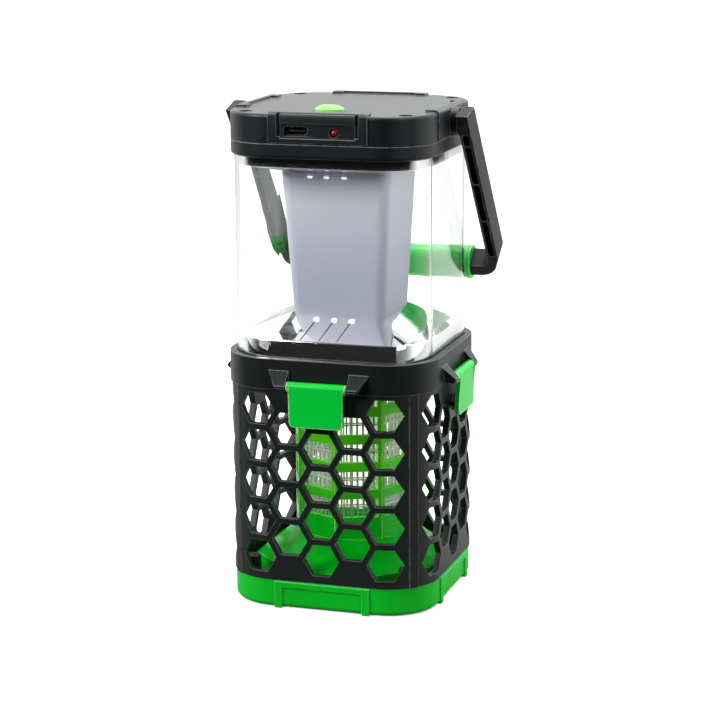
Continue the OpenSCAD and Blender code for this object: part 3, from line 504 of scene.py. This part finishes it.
upper_half, upper_low, upper_top = node_span("upper_reflector")
upper_r = upper_half - corner_center
upper_rim = upper_low + 3.1
top_seat = shade_top + 0.9
upper_rows = [
    (upper_half, upper_r, upper_top), (upper_half, upper_r, upper_rim + 0.5),
    (upper_half - 0.15, upper_r - 0.15, upper_rim + 0.1), (upper_half - 0.5, upper_r - 0.5, upper_rim - 0.05),
    (top_seat + 0.3, 5.2, upper_low + 0.05), (top_seat, 5, upper_low), (top_seat - 0.5, 4.8, upper_low + 0.2),
    (top_seat - 0.5, 4.8, upper_low + wall), (top_seat, 5, upper_low + wall + 0.1),
    (upper_half - wall, upper_r - wall, upper_rim + wall), (upper_half - wall, upper_r - wall, upper_top)]
dressed(wrapped("upper_dish", square_rows(upper_rows)), mirror, "lantern", "mirror_chrome", "upper_reflector")


# ------------------------------------------------------------------ painted reflections on the lower dish
# Three fine dark streaks run down the front slope of the dish and end in little glowing white rings at the
# shade's foot: painted reflections of the lamps, built as thin tubes and rings lying on the plating.
streak_front, streak_back, streak_drift = -(dish_half - 1.2), -(seat + 3), 1.7
streak_r, streak_steps, streak_sides = 0.14, 24, 8
reflection_ring_r, reflection_ring_wire, reflection_ring_rise = 1.0, 0.2, 0.22
slope = (foot - rim_top) / (dish_half - 0.5 - seat)
for k, streak_x in enumerate((-9.0, -1.7, 5.4)):
    along = np.linspace(streak_front, streak_back, streak_steps)
    run_x = streak_x + streak_drift * (along - streak_front) / (streak_back - streak_front)
    run_z = rim_top + 0.2 + slope * (dish_half - 0.5 + along)
    around = np.linspace(0, 2 * pi, streak_sides, endpoint=False)
    streak = np.stack([run_x[:, None] + streak_r * np.cos(around),
                     np.broadcast_to(along[:, None], (streak_steps, streak_sides)),
                     run_z[:, None] + streak_r * np.sin(around)], axis=-1) * MM
    dressed(wrapped(f"lead_{k}", streak, False, True), streak_dark, "lantern", "gasket_rubber")
    turn = np.linspace(0, 2 * pi, 24, endpoint=False)[:, None]
    tube = np.linspace(0, 2 * pi, 8, endpoint=False)[None, :]
    reach = reflection_ring_r + reflection_ring_wire * np.cos(tube)
    ring = np.stack([run_x[-1] + reach * np.cos(turn), along[-1] + reach * np.sin(turn),
                     run_z[-1] + 0.15 + slope * reach * np.sin(turn) + reflection_ring_rise * np.sin(tube)],
                    axis=-1) * MM
    dressed(wrapped(f"reflection_ring_{k}", ring), reflection_white, "lantern", "white_plastic")


# ------------------------------------------------------------------ window
# A clear square tube with round corners and polished walls, clamped between a soft seal and the cap.
window_half, window_low, window_high = node_span("clear_window")
window_r = window_half - corner_center
window_wall = 1.8
window_in, window_in_r = window_half - window_wall, window_r - window_wall
window_rows = [(window_half, window_r, z) for z in np.linspace(window_low + 0.2, window_high - 0.2, 9)]
window_rows += [(window_half - 0.2, window_r - 0.2, window_high), (window_in + 0.2, window_in_r + 0.2, window_high)]
window_rows += [(window_in, window_in_r, z) for z in np.linspace(window_high - 0.2, window_low + 0.2, 9)]
window_rows += [(window_in + 0.2, window_in_r + 0.2, window_low), (window_half - 0.2, window_r - 0.2, window_low)]
clear = bpy.data.materials.new("clear acrylic")
clear.use_nodes = True
glazing = clear.node_tree
glaze = glazing.nodes["Principled BSDF"]
glaze.inputs["Base Color"].default_value = (0.985, 0.995, 0.99, 1)
glaze.inputs["Transmission Weight"].default_value = 1
glaze.inputs["IOR"].default_value = 1.42
glaze_place = glazing.nodes.new("ShaderNodeTexCoord")
glaze_swirl = glazing.nodes.new("ShaderNodeTexNoise")
glaze_swirl.inputs["Scale"].default_value = 35
glaze_haze = glazing.nodes.new("ShaderNodeMapRange")
glaze_haze.inputs["To Min"].default_value, glaze_haze.inputs["To Max"].default_value = 0.0, 0.02
glazing.links.new(glaze_place.outputs["Object"], glaze_swirl.inputs["Vector"])
glazing.links.new(glaze_swirl.outputs["Fac"], glaze_haze.inputs["Value"])
glazing.links.new(glaze_haze.outputs["Result"], glaze.inputs["Roughness"])
glaze_path = glazing.nodes.new("ShaderNodeLightPath")
glaze_lets = glazing.nodes.new("ShaderNodeMath")
glaze_lets.operation = "MAXIMUM"
glaze_open = glazing.nodes.new("ShaderNodeBsdfTransparent")
glaze_mix = glazing.nodes.new("ShaderNodeMixShader")
glazing.links.new(glaze_path.outputs["Is Shadow Ray"], glaze_lets.inputs[0])
glazing.links.new(glaze_path.outputs["Is Diffuse Ray"], glaze_lets.inputs[1])
glazing.links.new(glaze_lets.outputs[0], glaze_mix.inputs["Fac"])
glazing.links.new(glaze.outputs[0], glaze_mix.inputs[1])
glazing.links.new(glaze_open.outputs[0], glaze_mix.inputs[2])
glazing.links.new(glaze_mix.outputs[0], glazing.nodes["Material Output"].inputs["Surface"])
dressed(wrapped("window_tube", square_rows(window_rows)), clear, "lantern", "clear_window", "clear_window")

gasket_half, gasket_low, gasket_high = node_span("window_gasket")
soft_seal = mottled("soft seal", (0.02, 0.02, 0.022), (0.05, 0.05, 0.052), 1500, 0.8)
gasket_in = gasket_half - 1.7
bulge = np.linspace(0, 2 * pi, 16, endpoint=False)
gasket_rows = [((gasket_half + gasket_in) / 2 + (gasket_half - gasket_in) / 2 * np.cos(t),
                (gasket_half + gasket_in) / 2 + (gasket_half - gasket_in) / 2 * np.cos(t) - corner_center,
                (gasket_low + gasket_high) / 2 + (gasket_high - gasket_low) / 2 * np.sin(t)) for t in bulge]
dressed(wrapped("seal_ring", square_rows(gasket_rows)), soft_seal, "lantern", "gasket_rubber", "window_gasket")


# ------------------------------------------------------------------ shade
# The frosted shade is a tapered square tube of opal plastic that narrows downwards. Its colour is painted
# shade, darker towards its foot. Three small glowing white dots in front under its top edge are painted reflections
# of the lamps.
steps = np.linspace(0, 1, 13)
shade_wall = 1.5
shade_outer = [(shade_foot + (shade_top - shade_foot) * t, 4 + t, shade_low + (shade_high - shade_low) * t)
               for t in steps]
shade_inner = [(h - shade_wall, r - shade_wall, z) for h, r, z in reversed(shade_outer)]
opal = bpy.data.materials.new("opal plastic")
opal.use_nodes = True
milk = opal.node_tree
milk_shader = milk.nodes["Principled BSDF"]
milk_shader.inputs["Subsurface Weight"].default_value = 0.35
milk_shader.inputs["Subsurface Radius"].default_value = (1, 1, 1)
milk_shader.inputs["Subsurface Scale"].default_value = 0.004
milk_place = milk.nodes.new("ShaderNodeTexCoord")
milk_spot = milk.nodes.new("ShaderNodeSeparateXYZ")
milk_level = milk.nodes.new("ShaderNodeMapRange")
milk_level.inputs["From Min"].default_value = shade_low * MM
milk_level.inputs["From Max"].default_value = shade_high * MM
# Painted shade: by height the opal colour runs from a dull grey-violet at the foot to near white at the top.
milk_painted_shade = milk.nodes.new("ShaderNodeMix")
milk_painted_shade.data_type = "RGBA"
milk_painted_shade.inputs["A"].default_value, milk_painted_shade.inputs["B"].default_value = (0.34, 0.35, 0.43, 1), (0.84, 0.87, 1, 1)
milk_grain = milk.nodes.new("ShaderNodeTexNoise")
milk_grain.inputs["Scale"].default_value = 1800
milk_rough = milk.nodes.new("ShaderNodeMapRange")
milk_rough.inputs["To Min"].default_value, milk_rough.inputs["To Max"].default_value = 0.42, 0.55
milk_bump = milk.nodes.new("ShaderNodeBump")
milk_bump.inputs["Strength"].default_value, milk_bump.inputs["Distance"].default_value = 0.06, 0.0001
milk.links.new(milk_place.outputs["Object"], milk_spot.inputs["Vector"])
milk.links.new(milk_spot.outputs["Z"], milk_level.inputs["Value"])
milk.links.new(milk_level.outputs["Result"], milk_painted_shade.inputs["Factor"])
milk.links.new(milk_painted_shade.outputs["Result"], milk_shader.inputs["Base Color"])
milk.links.new(milk_place.outputs["Object"], milk_grain.inputs["Vector"])
milk.links.new(milk_grain.outputs["Fac"], milk_rough.inputs["Value"])
milk.links.new(milk_rough.outputs["Result"], milk_shader.inputs["Roughness"])
milk.links.new(milk_grain.outputs["Fac"], milk_bump.inputs["Height"])
milk.links.new(milk_bump.outputs["Normal"], milk_shader.inputs["Normal"])
dressed(wrapped("shade_tube", square_rows(shade_outer + shade_inner)), opal, "lantern", "frosted_shade", "diffuser")
# Three glowing white dots under the shade's top edge: painted reflections of the lamps.
dot_z, dot_half_w, dot_half_h, dot_sides = 167.3, 1.15, 0.5, 20
dot_front = -(shade_foot + (shade_top - shade_foot) * (dot_z - shade_low) / (shade_high - shade_low))
dot_turn = np.linspace(0, 2 * pi, dot_sides, endpoint=False)
for k, dot_x in enumerate((-9.4, -2.7, 4.4)):
    dot_rows = [np.stack([dot_x + dot_half_w * w * np.cos(dot_turn),
                           np.full(dot_sides, dot_front - dot_half_h * np.sqrt(1 - w * w) + 0.1),
                           dot_z + dot_half_h * w * np.sin(dot_turn)], axis=-1) for w in (1, 0.9, 0.7, 0.4)]
    dressed(wrapped(f"reflection_dot_{k}", np.array(dot_rows) * MM, False, True), reflection_white, "lantern", "white_plastic")


# ------------------------------------------------------------------ lamp board
# A white board under the cap carries a ring of yellow lamps that shine down into the shade.
board_white = mottled("white solder mask", (0.78, 0.78, 0.75), (0.86, 0.86, 0.83), 500, 0.35)
finished("lamp_board", "lantern", board_white, 0.1)
phosphor = mottled("lamp phosphor", (0.85, 0.62, 0.1), (0.95, 0.75, 0.2), 900, 0.3)
finished("lamp_leds", "lantern", phosphor, 0.15)


# ------------------------------------------------------------------ cap
# The cap is a lower ring and an upper shell in black plastic; four blackened screws sit deep in its corners.
cap_plastic = moulding("cap plastic", (0.0045, 0.0075, 0.0095), (0.16, 0.165, 0.17), 0.33, 1700, 0.25, 0.42)
finished("cap_base", "lantern", cap_plastic, 0.3)
finished("cap_cover", "lantern", cap_plastic, 0.14)
black_oxide = metal("black oxide", (0.1, 0.1, 0.11), 0.35, 800)
finished("cap_screws", "lantern", black_oxide, 0.2)


# ------------------------------------------------------------------ what the cap holds
# The charging socket and the red lamp show in the front; the battery, the board and the switch don't.
shell_steel = metal("rolled shell", (0.12, 0.12, 0.13), 0.3, 900)
finished("usb_c_socket", "lantern", shell_steel, 0.08)
red_lens = moulding("red lens", (0.36, 0.005, 0.008), (0.5, 0.05, 0.05), 0.08, 500, 0.02, 0.6, 0.1)
finished("status_led", "lantern", red_lens, 0)
foil = mottled("battery foil", (0.4, 0.41, 0.43), (0.55, 0.56, 0.58), 160, 0.35)
finished("battery_pack", "lantern", foil, 0.8)
finished("main_board", "lantern", solder_mask, 0.1)
switch_black = mottled("switch body", (0.015, 0.015, 0.016), (0.03, 0.03, 0.032), 700, 0.4)
finished("tact_switch", "lantern", switch_black, 0.15)
finished("switch_plunger", "button", plain_white, 0.15)


# ------------------------------------------------------------------ button
# A light green oval cap with a low dome; it slides in the top plate.
button_plastic = moulding("button plastic", (0.24, 0.85, 0.12), (0.5, 0.95, 0.4), 0.2, 700, 0.04)
finished("power_button", "button", button_plastic, 0.2)


# ------------------------------------------------------------------ handle
# The bail is one black moulding with ribbed channels in its arms; it turns on two steel pins.
# The green grip is a sleeve moulded round its bar.
handle_plastic = moulding("handle plastic", (0.006, 0.007, 0.007), (0.12, 0.125, 0.125), 0.4, 1300, 0.3, 0.22)
finished("handle_bail", "handle", handle_plastic, 0.3)
finished("handle_pivots", "lantern", turned_steel, 0.15)
grip_plastic = moulding("grip plastic", (0.01, 0.6, 0.04), (0.25, 0.9, 0.35), 0.2, 900, 0.05)
finished("handle_grip", "handle", grip_plastic, 0.3)
